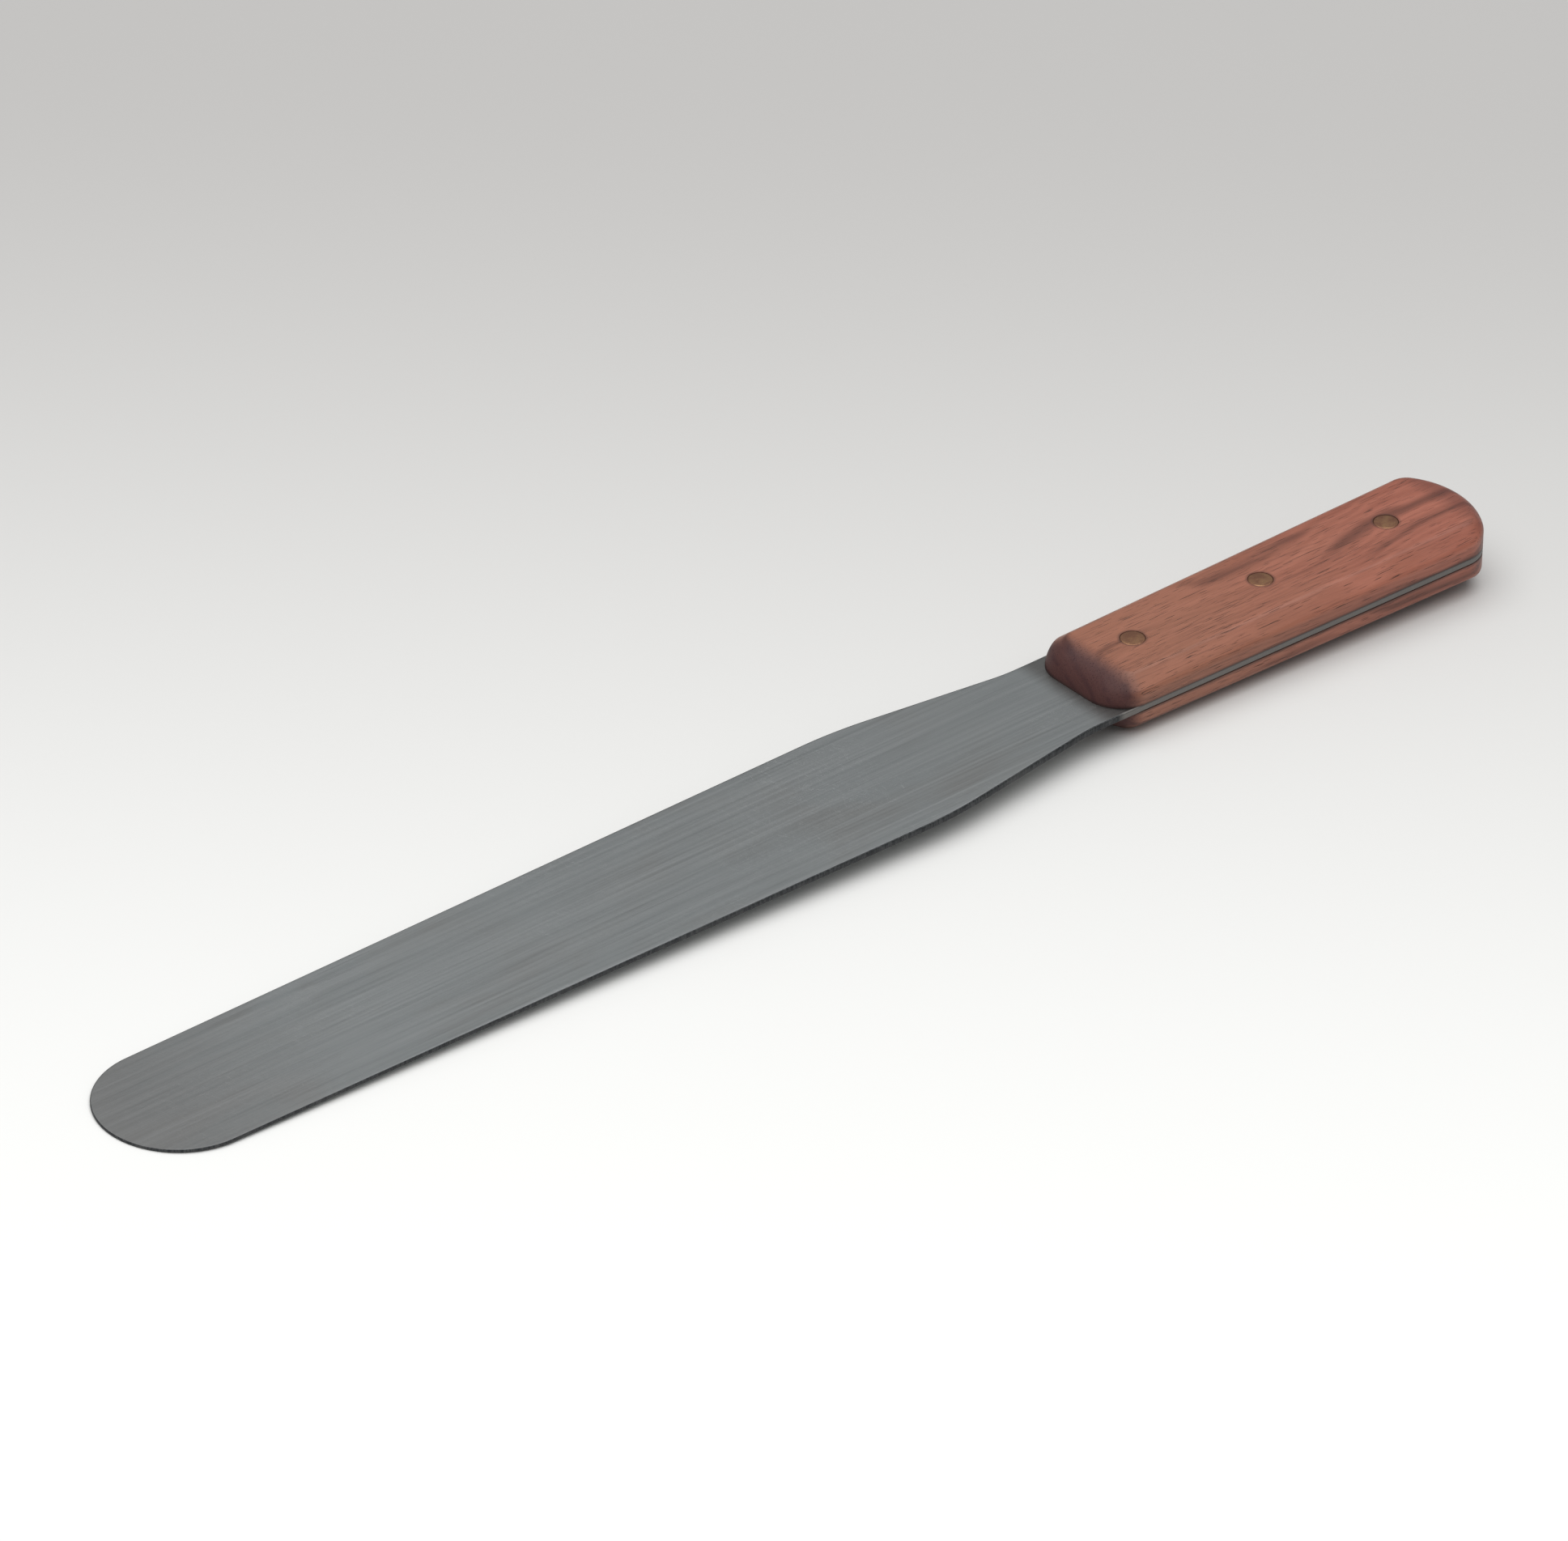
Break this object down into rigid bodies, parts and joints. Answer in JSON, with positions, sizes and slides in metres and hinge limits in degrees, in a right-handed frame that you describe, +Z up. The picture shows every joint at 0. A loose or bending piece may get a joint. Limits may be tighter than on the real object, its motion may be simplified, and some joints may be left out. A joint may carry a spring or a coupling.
{
  "type": "flexible putty knife",
  "caption": "Long round-ended flexible steel blade with full tang, riveted between two hardwood scales, for mixing and spreading filler.",
  "frame": {"origin": "centre of the bounding box in X and Y, on the plane that the knife lies on", "axes": "+X along the knife towards the blade's tip, +Y across the blade, +Z up, square to the surface the knife lies on"},
  "size_m": [0.3666, 0.0398, 0.0172],
  "materials": {
    "spring_steel": "satin ground spring steel with fine lengthwise grinding lines",
    "rosewood": "reddish-brown rosewood, darker grain along the handle, satin oil finish",
    "rivet_brass": "brass ground flush with the wood, dulled with handling"
  },
  "bodies": {
    "handle": {"tang": "spring_steel", "upper_scale": "rosewood", "lower_scale": "rosewood", "front_rivet_post": "rivet_brass", "front_rivet_tube": "rivet_brass", "middle_rivet_post": "rivet_brass", "middle_rivet_tube": "rivet_brass", "rear_rivet_post": "rivet_brass", "rear_rivet_tube": "rivet_brass"},
    "flexing_blade": {"blade": "spring_steel"}
  },
  "joints": [
    {"name": "blade_flex", "type": "hinge", "parent": "handle", "child": "flexing_blade", "pos_m": [-0.03258, 0, 0.00586], "axis": [0, 1, 0], "range_deg": [-30, 30], "stiffness_Nm_per_rad": 12.4}
  ]
}
